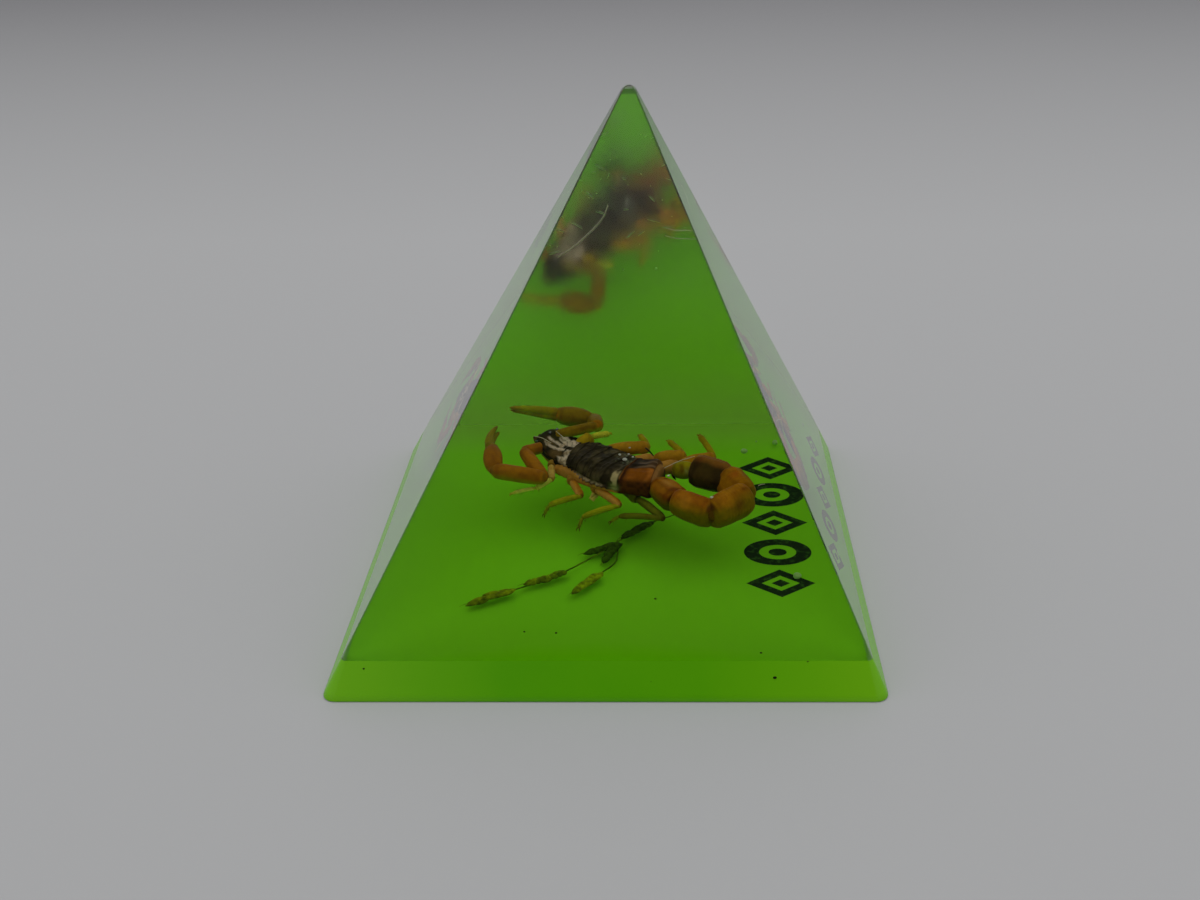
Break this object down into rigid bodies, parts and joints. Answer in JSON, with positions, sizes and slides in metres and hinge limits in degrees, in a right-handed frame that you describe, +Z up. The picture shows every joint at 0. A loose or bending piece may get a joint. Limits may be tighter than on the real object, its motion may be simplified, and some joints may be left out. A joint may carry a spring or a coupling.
{
  "type": "resin pyramid with scorpion",
  "caption": "Clear cast-resin pyramid paperweight on an opaque coloured layer, with a dried scorpion and a grass sprig sealed inside.",
  "frame": {"origin": "middle of the square underside, on the surface that the pyramid stands on", "axes": "+Z up from the underside to the point; +X and +Y square to the sides of the base, with the broad view of the scorpion from -Y and the point leaning 3.5 mm towards +X"},
  "size_m": [0.0697, 0.0696, 0.0672],
  "materials": {
    "green_resin": "opaque lime-green polyester casting resin, polished",
    "clear_resin": "clear polyester casting resin, ground and polished",
    "scorpion_cuticle": "dried chitin, glossy orange-brown with black back plates",
    "dried_grass": "dried grass, dull olive"
  },
  "bodies": {
    "root": {"green_base": "green_resin", "resin_lower": "clear_resin", "resin_upper": "clear_resin", "scorpion": "scorpion_cuticle", "grass_sprig": "dried_grass"}
  },
  "joints": []
}
